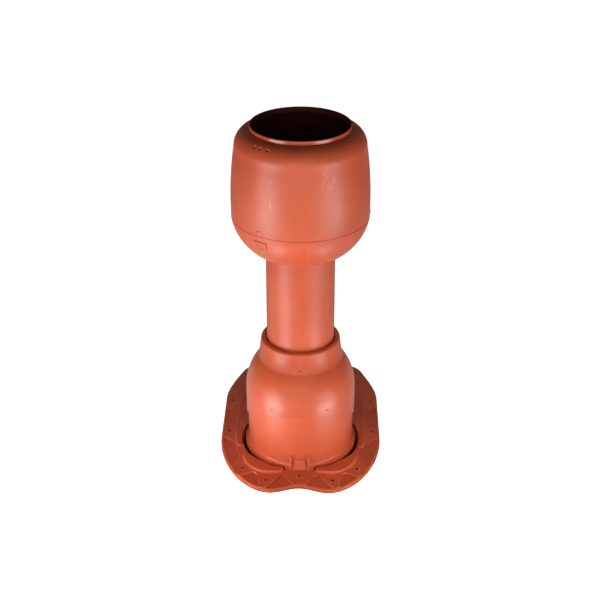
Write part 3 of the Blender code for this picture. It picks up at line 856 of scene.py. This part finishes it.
def flange_edge(dip_steps=14, corner_steps=36):
    """Edge of the flange, anticlockwise from the middle of its front."""
    right = []
    for i in range(dip_steps):
        x = LOBE * i / dip_steps
        right.append((x, -FRONT + FRONT_DIP * (1 + math.cos(math.pi * x / LOBE)) / 2))
    for i in range(corner_steps + 1):
        turn = math.pi / 2 * i / corner_steps
        across = LOBE + (HALF_WIDTH - LOBE) * bent(math.sin(turn), CORNER_POWER)
        right.append((across, -FRONT * bent(math.cos(turn), CORNER_POWER)))
    # Two curves draw the back corner, with given pulls.
    side_end = (HALF_WIDTH, SIDE_LENGTH)
    corner = (HALF_WIDTH - BACK_INSET, SIDE_LENGTH + BACK_LENGTH)
    last = (corner[0] - BACK_ROUND - 0.02, BACK)
    right.append(side_end)
    right += bezier(side_end, (HALF_WIDTH, SIDE_LENGTH + BACK_LENGTH / 3),
                    (corner[0] + BACK_ROUND * 0.45, corner[1] - 0.040), corner, 14)
    right += bezier(corner, (corner[0] - 0.008, corner[1] + 0.020),
                    (last[0] + BACK_ROUND * 0.85, BACK), last, 12)
    return right + [(0, BACK)] + mirrored(right[1:])


base = drawn("base_moulding", on_floor(flange_edge(), UNDERSIDE))
pulled_up(FLANGE_HEIGHT - EDGE_ROUND)
bpy.ops.mesh.normals_make_consistent(inside=False)
for i in range(EDGE_STEPS):
    here = math.pi / 2 * i / EDGE_STEPS
    there = math.pi / 2 * (i + 1) / EDGE_STEPS
    inset_end(base, max, EDGE_ROUND * (math.cos(here) - math.cos(there)),
              EDGE_ROUND * (math.sin(there) - math.sin(here)))
settle(base)
print("flange", len(base.data.polygons), "faces")

# %% [markdown]
# Everything that stands on the flange or is sunk into it is a section carried along a path: gutter walls,
# ridges and the drain. A section is a list of corners (outwards from the path, height). It is drawn at the
# first place and extruded from place to place, each new corner set where the path leads.


# %% Sections carried along a path
def lofted(name, stations):
    """A closed solid whose section is extruded from station to station."""
    piece = drawn(name, stations[0])
    current = [Vector(corner) for corner in stations[0]]
    for station in stations[1:]:
        pulled_up(0)
        mesh = bmesh.from_edit_mesh(piece.data)
        fresh = [vert for vert in mesh.verts if vert.select]
        for vert in fresh:
            nearest = min(range(len(current)), key=lambda i: (current[i] - vert.co).length)
            vert.co = Vector(station[nearest])
        bmesh.update_edit_mesh(piece.data)
        current = [Vector(corner) for corner in station]
    return settle(piece)


def outward(path):
    """Unit normals on the right-hand side of an open path in plan."""
    normals = []
    for i in range(len(path)):
        along = Vector(path[min(i + 1, len(path) - 1)]) - Vector(path[max(i - 1, 0)])
        along.normalize()
        normals.append(Vector((along.y, -along.x)))
    return normals


def carried(name, path, section):
    """A section carried along a path in plan; the section may be a function of the place along the path."""
    stations = []
    for i, (point, side) in enumerate(zip(path, outward(path))):
        corners = section(i, Vector(point), side) if callable(section) else section
        stations.append([(point[0] + side.x * across, point[1] + AXIS_Y + side.y * across, height)
                         for across, height in corners])
    return lofted(name, stations)


print("sections ready")

# %% [markdown]
# The bays are sunk three millimetres into the flange, with sloping sides, so that the plastic leaves its
# mould. They stop short of the edge: each cutter is first trimmed by the flange's own outline, drawn in.

# %% Bays
BAY_FLOOR = 0.007
BAY_BREAK = FLANGE_HEIGHT + 0.0006
BAY_RIM = 0.0055
DRAFT = 0.0014
ABOVE = 0.016
CUTTER_TOP = 0.034
CORNER_SHARE = 0.28


def bay_cutter(name, outline):
    """A cutter whose sides slope in as they go down to the bay's floor."""
    piece = drawn(name, on_floor(smooth_ring(outline), ABOVE))
    pulled_up(BAY_BREAK - ABOVE)
    bpy.ops.mesh.normals_make_consistent(inside=False)
    inset_end(piece, min, DRAFT, BAY_BREAK - BAY_FLOOR)
    return settle(piece)


def smooth_ring(points):
    """A closed outline with each corner rounded by a short curve."""
    ring = []
    for before, here, after in zip(points[-1:] + points[:-1], points, points[1:] + points[:1]):
        pulls = ((before, CORNER_SHARE), (before, CORNER_SHARE / 3),
                 (after, CORNER_SHARE / 3), (after, CORNER_SHARE))
        bend = [tuple(Vector(here).lerp(Vector(point), share)) for point, share in pulls]
        ring += [bend[0]] + bezier(*bend, 4)
    return ring


def drawn_in_flange(name, inset, low, high):
    """The flange's outline drawn in by an inset, as an upright solid between two heights."""
    piece = drawn(name, on_floor(flange_edge(7, 18), low))
    bpy.ops.mesh.inset(thickness=inset, use_even_offset=True)
    bpy.ops.mesh.select_all(action="INVERT")
    bpy.ops.mesh.delete(type="VERT")
    bpy.ops.mesh.select_all(action="SELECT")
    pulled_up(high - low)
    return settle(piece)


far = HALF_WIDTH + 0.020
bays = [
    [(0.1945, 0.000), (0.163, -0.026), (0.1525, -0.066), (0.147, -0.089), (0.156, -0.118), (0.1605, -0.145),
     (far, -0.145), (far, 0.006)],
    [(0.143, -0.162), (0.112, -0.1445), (0.100, -0.153), (0.096, -0.170), (0.092, -0.216), (0.165, -0.216)],
    [(0.086, -0.216), (0.0685, -0.188), (0.045, -0.153), (0.034, -0.158), (0.015, -0.192), (0.004, -0.216)],
    [(far, 0.148), (0.1695, 0.116), (0.1675, 0.045), (far, 0.045)],
    [(0.118, 0.356), (0.134, 0.297), (0.128, 0.279), (0.104, 0.299), (0.088, 0.323), (0.082, 0.356)],
]
cutters = []
for i, outline in enumerate(bays):
    cutters.append(bay_cutter(f"bay_{i}_right", outline))
    cutters.append(bay_cutter(f"bay_{i}_left", mirrored(outline)))
bay_tool = joined("bay_tool", cutters)
cut(bay_tool, drawn_in_flange("bay_limit", BAY_RIM, 0.004, CUTTER_TOP), "INTERSECT")
cut(base, bay_tool)
print("bays cut,", len(base.data.polygons), "faces")

# %% [markdown]
# The barrel is a turned shell with a ball-shaped top that carries the dome. Its foot sweeps out in a wide
# fillet, and a ledge, a ring of its own, runs round it. In front, where the drain runs straight, the ledge is
# cut off along it.

# %% Barrel
DOME_CLEARANCE = 0.0004
BARREL_OPENING = PIPE_RADIUS + 0.024
LEDGE_RADIUS = 0.1366
LEDGE_HEIGHT = 0.016
LEDGE_FILLET = 0.007
FOOT_FILLET = 0.013
LEDGE_CHORD = -0.1176
SOFT_EDGE = 0.0008
SINK = 0.0003
barrel_radius = DOME_RADIUS - WALL - DOME_CLEARANCE
barrel_inner = barrel_radius - WALL
top_angle = math.degrees(math.acos(BARREL_OPENING / barrel_radius))
inner_top_angle = math.degrees(math.acos(BARREL_OPENING / barrel_inner))
foot_centre = (barrel_radius + FOOT_FILLET, FLANGE_HEIGHT + FOOT_FILLET - SINK)
barrel_profile = rounding(ball_centre, barrel_radius, top_angle, 0, 14)
barrel_profile += rounding(foot_centre, FOOT_FILLET, 180, 270, 8)
barrel_profile += [(foot_centre[0], SINK), (barrel_inner, SINK)]
barrel_profile += rounding(ball_centre, barrel_inner, 0, inner_top_angle, 12)
barrel = turned("barrel", barrel_profile)

ledge_centre = (barrel_radius + LEDGE_FILLET, LEDGE_HEIGHT + LEDGE_FILLET)
ledge_profile = rounding(ledge_centre, LEDGE_FILLET, 180, 255, 6)
ledge_profile += [(LEDGE_RADIUS - SOFT_EDGE, LEDGE_HEIGHT), (LEDGE_RADIUS, LEDGE_HEIGHT - SOFT_EDGE)]
ledge_inner = barrel_radius - 0.001
ledge_profile += [(LEDGE_RADIUS, 0.001), (ledge_inner, 0.001), (ledge_inner, LEDGE_HEIGHT + LEDGE_FILLET)]
ledge = turned("ledge", ledge_profile)
edit(ledge)
bpy.ops.mesh.bisect(plane_co=(0, AXIS_Y + LEDGE_CHORD, 0), plane_no=(0, -1, 0), use_fill=True,
                    clear_outer=True)
settle(ledge)
print("barrel", len(barrel.data.polygons), "faces, ledge", len(ledge.data.polygons))

# %% [markdown]
# The drain is a dark channel round the ledge: ten millimetres wide beside and behind the barrel, and a
# narrow slot in front. There it runs straight, then turns forwards round the end of each front wall like a
# hook. Its cutter is carried along the channel's middle, with a section that changes in width on the way.

# %% Drain path
DRAIN_INNER = 0.1368
DRAIN_NARROW = 0.0043
DRAIN_WIDE = 0.0095
DRAIN_FLOOR = 0.0035
DRAIN_TURN = 32.5
ARC_STEPS = 44
hook = [(0.0445, -0.1500), (0.0402, -0.1435), (0.0372, -0.1360), (0.0374, -0.1295), (0.0425, -0.1257),
        (0.0500, -0.1230), (0.0620, -0.1206)]
hook_path = smooth_path(hook, 4)[:-1]
drain_right = [(point, DRAIN_NARROW) for point in hook_path]
for i in range(ARC_STEPS + 1):
    degrees = DRAIN_TURN + (180 - DRAIN_TURN) * i / ARC_STEPS
    opening = min((degrees - DRAIN_TURN) / 45, 1)
    width = DRAIN_NARROW + (DRAIN_WIDE - DRAIN_NARROW) * opening * opening * (3 - 2 * opening)
    reach = DRAIN_INNER + width / 2
    turn = math.radians(degrees)
    drain_right.append(((reach * math.sin(turn), -reach * math.cos(turn)), width))
drain_line = drain_right + [((-x, y), width) for (x, y), width in reversed(drain_right)][1:]
drain_path = [point for point, width in drain_line]
drain_width = [width for point, width in drain_line]


def drain_section(i, point, side):
    """The channel's cutter: narrower at its floor than at its mouth."""
    half = drain_width[i] / 2
    mouth_height = FLANGE_HEIGHT + SINK
    floor_height = DRAIN_FLOOR + SINK
    return [(-half, CUTTER_TOP), (-half, mouth_height), (-half + SOFT_EDGE, floor_height),
            (half - SOFT_EDGE, floor_height), (half, mouth_height), (half, CUTTER_TOP)]


print("drain", len(drain_path), "places")

# %% [markdown]
# The gutter walls keep rain away from the barrel: a long one goes round its sides and back, and two short
# curved ones stand in front. Each has a hollow outer face and a rounded crest. Behind the crest the long wall
# slopes down to the drain, and the front walls are broad banks that stay nearly level up to its edge.

# %% Gutter walls
CREST = 0.0178
FRONT_CREST = 0.0165
BANK_TOE = 0.0142
LONG_TOE = 0.0105
BURIED = 0.0062
SLOPE = 0.0125
CREST_REACH = 0.0036


def wall_section(crest, toe, toe_height):
    """Corners of a wall's section: outer foot, rounded crest, inner slope and its toe."""
    rise = crest - FLANGE_HEIGHT
    inner = min(1, toe / CREST_REACH)
    sweep = [(0.0078, 0.02), (0.0060, 0.10), (0.0045, 0.26), (0.0034, 0.48), (0.0026, 0.70), (0.0018, 0.88),
             (0.0009, 0.97)]
    outer = [(across, FLANGE_HEIGHT + rise * share) for across, share in sweep]
    top = [(-0.0003 * inner, crest), (-0.0014 * inner, crest - 0.0003), (-0.0028 * inner, crest - 0.0009)]
    return [(0.0082, BURIED)] + outer + top + [(-toe, toe_height), (-toe, BURIED)]


side_x = barrel_radius + 0.0314
behind = BACK - 0.041
side_wall = [(side_x - 0.010, -0.047), (side_x - 0.002, -0.020), (side_x, 0.015),
             (side_x, SIDE_LENGTH - 0.014), (side_x - 0.008, behind - 0.056),
             (side_x - 0.042, behind - 0.015), (0.058, behind), (0, behind)]
long_path = smooth_path(side_wall + mirrored(side_wall)[1:], 6)
walls = [carried("long_wall", long_path, wall_section(CREST, SLOPE, LONG_TOE))]

front_wall = [(0.0415, -0.1375), (0.0445, -0.1435), (0.0520, -0.1465), (0.0860, -0.1460), (0.1060, -0.1370),
              (0.1240, -0.1180), (0.1335, -0.0970), (0.1360, -0.0820)]
front_path = smooth_path(front_wall, 5)


def bank_section(i, point, side):
    """The bank ends at the drain's edge, wherever that is."""
    across = Vector((abs(point.x), point.y))
    reach = min((across - Vector(place)).length - width / 2 for place, width in drain_right)
    return wall_section(FRONT_CREST, max(reach - 0.0002, 0.0012), BANK_TOE)


walls.append(carried("front_wall_right", front_path, bank_section))
walls.append(carried("front_wall_left", mirrored(front_path), bank_section))
print("walls", [len(wall.data.polygons) for wall in walls])

# %% [markdown]
# Thin rounded ridges edge the bays. One of them runs from side to side in waves along the front, between
# the screws, and the others fade out. They are carried along their paths, like the walls.

# %% Ridges
RIDGE_HALF = 0.0021
RIDGE_RISE = 0.0019


def ridge_section(rise):
    """A half-round ridge that reaches down to the floor of the bays."""
    round_top = arc((0, FLANGE_HEIGHT - 0.0002), (RIDGE_HALF, rise), 0, 180, 6)
    return [(RIDGE_HALF, BURIED)] + round_top + [(-RIDGE_HALF, BURIED)]


side_front = [(0.1935, 0.0005), (0.178, -0.011), (0.163, -0.0265), (0.1525, -0.066), (0.147, -0.089),
              (0.156, -0.118), (0.159, -0.140), (0.151, -0.154), (0.143, -0.159), (0.127, -0.152),
              (0.112, -0.144), (0.100, -0.153), (0.096, -0.170), (0.093, -0.198), (0.086, -0.205),
              (0.0685, -0.188), (0.045, -0.154), (0.0395, -0.1515), (0.034, -0.156), (0.015, -0.190),
              (0, -0.1935)]
wave = smooth_path(side_front + mirrored(side_front)[1:], 4)
ridges = [carried("front_ridge", wave, ridge_section(RIDGE_RISE))]
side_ridge = [(0.1945, 0.1375), (0.171, 0.1165), (0.1685, 0.111), (0.1678, 0.085), (0.167, 0.055)]
back_ridge = [(0.1590, 0.2950), (0.1566, 0.2910), (0.1479, 0.2650), (0.1470, 0.2610)]


def fading(path, start):
    """Section of a ridge that fades out from a share of its length on."""
    def section(i, point, side):
        share = i / (len(path) - 1)
        return ridge_section(RIDGE_RISE * (1 if share < start else max(0.12, (1 - share) / (1 - start))))
    return section


for path, start in ((smooth_path(side_ridge, 4), 0.55), (back_ridge, 0.8)):
    ridges.append(carried("ridge_right", path, fading(path, start)))
    left = [(-x, y) for x, y in path]
    ridges.append(carried("ridge_left", left, fading(left, start)))
print(len(ridges), "ridges")

# %% [markdown]
# Fourteen screws hold the flange to the roof, each in a low round boss that slopes at its edge. A small
# black disc of the stage lies under each hole as a painted shadow, so that the white floor doesn't shine up
# through it.

# %% Screws and bosses
SCREW_RADIUS = 0.0023
SCREW_INSET = 0.018
BOSS_TOP = 0.0064
BOSS_FOOT = 0.0084
BOSS_HEIGHT = FLANGE_HEIGHT + 0.0008
SHADE_RADIUS = 0.008
SHADE_LIFT = 0.0003
screws = [(0, -0.1605), (0, BACK - SCREW_INSET)]
for x, y in ((0.1384, -0.132), (0.1807, 0.022), (0.1807, 0.160), (0.146, 0.303), (0.075, BACK - SCREW_INSET),
             (0.079, -0.178)):
    screws += [(x, y), (-x, y)]
bosses = []
shades = []
for x, y in screws:
    alone()
    middle = (x, y + AXIS_Y, (BOSS_HEIGHT + BURIED) / 2)
    bpy.ops.mesh.primitive_cone_add(vertices=28, radius1=BOSS_FOOT, radius2=BOSS_TOP,
                                    depth=BOSS_HEIGHT - BURIED, location=middle)
    bosses.append(settle(bpy.context.object))
    alone()
    # Painted shadow: a black disc under each screw hole.
    bpy.ops.mesh.primitive_circle_add(vertices=16, radius=SHADE_RADIUS, fill_type="NGON",
                                      location=(x, y + AXIS_Y, SHADE_LIFT))
    shades.append(bpy.context.object)
shade = settle(joined("studio_shade", shades))
shade.data.materials.append(plain_material("studio_shade_black", (0, 0, 0), 1.0))
print(len(bosses), "bosses")

# %% [markdown]
# Each part is cut on its own and only then joined to the others: closed shells that overlap look like one
# moulding, and every Boolean stays simple. The plate gets its underside recess and the well under the
# barrel. The drain goes through plate and ledge, and the screw holes through plate and bosses.

# %% Cuts through the base
UNDER_LAND = 0.010
UNDER_RECESS = 0.0035


def disc(name, radius, low, high):
    """An upright cutter round the axis."""
    piece = peg(radius, high - low, (0, AXIS_Y, (low + high) / 2), ROUND_STEPS)
    piece.name = name
    return settle(piece)


def screw_cutter():
    """All the screw holes as one cutter, 30 mm long through the middle of the plate."""
    return joined("screw_holes", [peg(SCREW_RADIUS, 0.030, (x, y + AXIS_Y, 0.0065)) for x, y in screws])


recess = drawn_in_flange("under_recess", UNDER_LAND, -0.004, UNDER_RECESS)
cut(recess, disc("barrel_land", DRAIN_INNER + 0.014, -0.010, 0.010))
cut(base, recess)
cut(base, disc("well", barrel_radius + 0.002, -0.010, 0.030))
for part in (base, barrel, ledge):
    cut(part, carried("drain_cutter", drain_path, drain_section))
cut(base, screw_cutter())
boss_ring = joined("bosses", bosses)
cut(boss_ring, screw_cutter())
print("cut:", len(base.data.polygons), "faces on the plate,", len(barrel.data.polygons), "on the barrel")

# %% [markdown]
# The clip in front of the barrel has two thin fins and a sloping block between them. Each is a side view,
# carried sideways from one face to the other, with its outermost sections a little smaller, so that its
# edges are soft. The block is wider at its foot and carries three shallow strokes.

# %% Clip
FIN_PLACE = 0.0213
FIN_HALF = 0.0023
FIN_SOFT = 0.0006
fin_view = [(-0.1256, 0.0085), (-0.1256, 0.0452), (-0.1302, 0.0452), (-0.1318, 0.0446), (-0.1328, 0.0432),
            (-0.1402, 0.0268), (-0.1409, 0.0255), (-0.1411, 0.0238), (-0.1411, 0.0085)]
block_view = [(-0.1256, 0.0085), (-0.1256, 0.0338), (-0.1289, 0.0338), (-0.1302, 0.0331), (-0.1308, 0.0318),
              (-0.1312, 0.0282), (-0.1320, 0.0266), (-0.1338, 0.0240), (-0.1336, 0.0232), (-0.1355, 0.0209),
              (-0.1353, 0.0201), (-0.1372, 0.0178), (-0.1370, 0.0170), (-0.1396, 0.0136), (-0.1404, 0.0120),
              (-0.1404, 0.0085)]
BLOCK_TOP_HALF = 0.0122
BLOCK_FOOT_HALF = 0.0166
SLOT_PLACE = -0.1400
SLOT_HEIGHT = 0.0090
SLOT_SIZE = (0.0350, 0.0046, 0.0064)
CLIP_BACK = -0.126
CLIP_FOOT = 0.012
BLOCK_SOFT = 0.0007
TAPER_TOP = 0.0335
TAPER_LENGTH = 0.020


def drawn_in(view, by):
    """A side view with its front and top edges drawn in a little."""
    return [(y + (by if y < CLIP_BACK else 0), z - (by if z > CLIP_FOOT else 0)) for y, z in view]


clip = []
for side in (-1, 1):
    middle = side * FIN_PLACE
    faces = ((-FIN_HALF, FIN_SOFT), (FIN_SOFT - FIN_HALF, 0), (FIN_HALF - FIN_SOFT, 0), (FIN_HALF, FIN_SOFT))
    clip.append(lofted("fin", [[(middle + x, y + AXIS_Y, z) for y, z in drawn_in(fin_view, by)]
                               for x, by in faces]))


def block_place(share, y, z):
    """A corner of the block: its half width grows towards its foot."""
    half = BLOCK_TOP_HALF + (BLOCK_FOOT_HALF - BLOCK_TOP_HALF) * min(1, (TAPER_TOP - z) / TAPER_LENGTH)
    return (share * half, y + AXIS_Y, z)


block = lofted("clip_block", [[block_place(share, y, z) for y, z in drawn_in(block_view, by)]
                              for share, by in ((-1, BLOCK_SOFT), (-0.94, 0), (0.94, 0), (1, BLOCK_SOFT))])
clip.append(block)


def slot_cutter():
    """The dark slot under the block's toe."""
    alone()
    bpy.ops.mesh.primitive_cube_add(size=1, location=(0, AXIS_Y + SLOT_PLACE, SLOT_HEIGHT))
    piece = bpy.context.object
    edit(piece)
    bpy.ops.transform.resize(value=SLOT_SIZE, center_override=piece.location)
    return settle(piece)


for part in (base, block):
    cut(part, slot_cutter())
print("clip:", [len(part.data.polygons) for part in clip])

# %% [markdown]
# Three shallow strokes are sunk into the left side bay. Then all the shells become one object, which stands
# for the one moulding of the base.

# %% Strokes in the side bay
STROKE_RADIUS = 0.0040
STROKE_DEPTH = 0.0030
STROKE_X = -0.1735
STROKE_HEIGHT = 0.0078
STROKE_STRETCH = (0.42, 1.15, 1)
strokes = []
for y, lean in ((0.112, 12), (0.091, -8), (0.068, 5)):
    stroke = peg(STROKE_RADIUS, STROKE_DEPTH, (STROKE_X, y + AXIS_Y, STROKE_HEIGHT))
    edit(stroke)
    bpy.ops.transform.resize(value=STROKE_STRETCH, center_override=stroke.location)
    bpy.ops.transform.rotate(value=math.radians(lean), orient_axis="Z", center_override=stroke.location)
    strokes.append(settle(stroke))
cut(base, joined("strokes", strokes))
base = settle(joined("base_moulding", [base, barrel, ledge, boss_ring] + walls + ridges + clip))
print("base of", len(base.data.polygons), "faces")

# %% [markdown]
# The floors of the bays are finely hatched on the real moulding. Lines that thin are painted and bumped, not
# modelled, and the height tells where a bay's floor is. Painted shade darkens the drain and the screw holes.
# Weighted normals keep the large flat faces flat beside their rounded edges.

# %% Base finish
HOLE_SHADE = 0.0041
HATCH_LINES = 2600
HATCH_DEPTH = 0.00012
BASE_ANGLE = 32


def hatch_and_painted_shade(start, place, colour, rough, height):
    """Fine slanting lines in the sunken bays, a darker tone there, and painted shade in the drain and screw
    holes.
    """
    x, y, z = parts_of(place)
    bay = z.band(0.0078, 0.0072) * z.band(0.0062, 0.0066)
    lines = start.maths("SINE", (x * 0.64 + y * 0.77) * HATCH_LINES)
    height = height + bay * lines * HATCH_DEPTH
    colour = mixed(start, bay * (0.14 + lines * 0.10), colour, CLAY_DARK)
    aside = start.maths("ABSOLUTE", x)
    # Painted shade in each screw hole and just round it.
    holes = 0.0
    for hole_x, hole_y in screws:
        if hole_x >= 0:
            across = aside - hole_x
            along = y - (hole_y + AXIS_Y)
            holes = (across * across + along * along).band(HOLE_SHADE ** 2, SCREW_RADIUS ** 2) + holes
    # Painted shade in the drain.
    reach = start.maths("SQRT", x * x + (y - AXIS_Y) * (y - AXIS_Y))
    drain = reach.band(0.160, 0.156) * z.band(0.0095, 0.0078)
    colour = mixed(start, drain * 0.75, colour, CLAY_SHADE)
    return mixed(start, holes * 0.95, colour, CLAY_SHADE), rough + bay * 0.08 + holes * 0.3, height


finished(base, "base", terracotta("base_terracotta", 5, SATIN, hatch_and_painted_shade), BASE_ANGLE)
bpy.ops.object.modifier_add(type="WEIGHTED_NORMAL")
base.modifiers[-1].keep_sharp = True
bpy.ops.object.modifier_apply(modifier=base.modifiers[-1].name)

# %% [markdown]

# %% Finish
print("all pieces finished")
